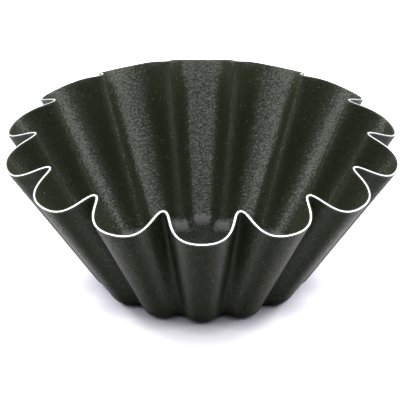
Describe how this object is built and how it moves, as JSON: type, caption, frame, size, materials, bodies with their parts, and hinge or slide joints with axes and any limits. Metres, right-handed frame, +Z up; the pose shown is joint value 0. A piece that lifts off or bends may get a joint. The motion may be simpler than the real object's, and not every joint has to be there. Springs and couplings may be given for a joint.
{
  "type": "brioche mould",
  "caption": "Round flared baking mould with deep fluted walls, a wavy cut rim, a small flat base and a dark non-stick coat inside and out.",
  "frame": {"origin": "middle of the underside of the base, on the surface that the mould stands on", "axes": "+Z up along the mould's axis towards its mouth, -Y towards the front, where a flute's crest faces the viewer"},
  "size_m": [0.216, 0.22, 0.0886],
  "materials": {
    "outer_coat": "satin charcoal non-stick coat",
    "bare_metal": "bare cut edge of pressed sheet",
    "inner_coat": "fine-grained charcoal non-stick coat"
  },
  "bodies": {
    "root": {"outer_coat": "outer_coat", "pressed_sheet": "bare_metal", "inner_coat": "inner_coat"}
  },
  "joints": []
}
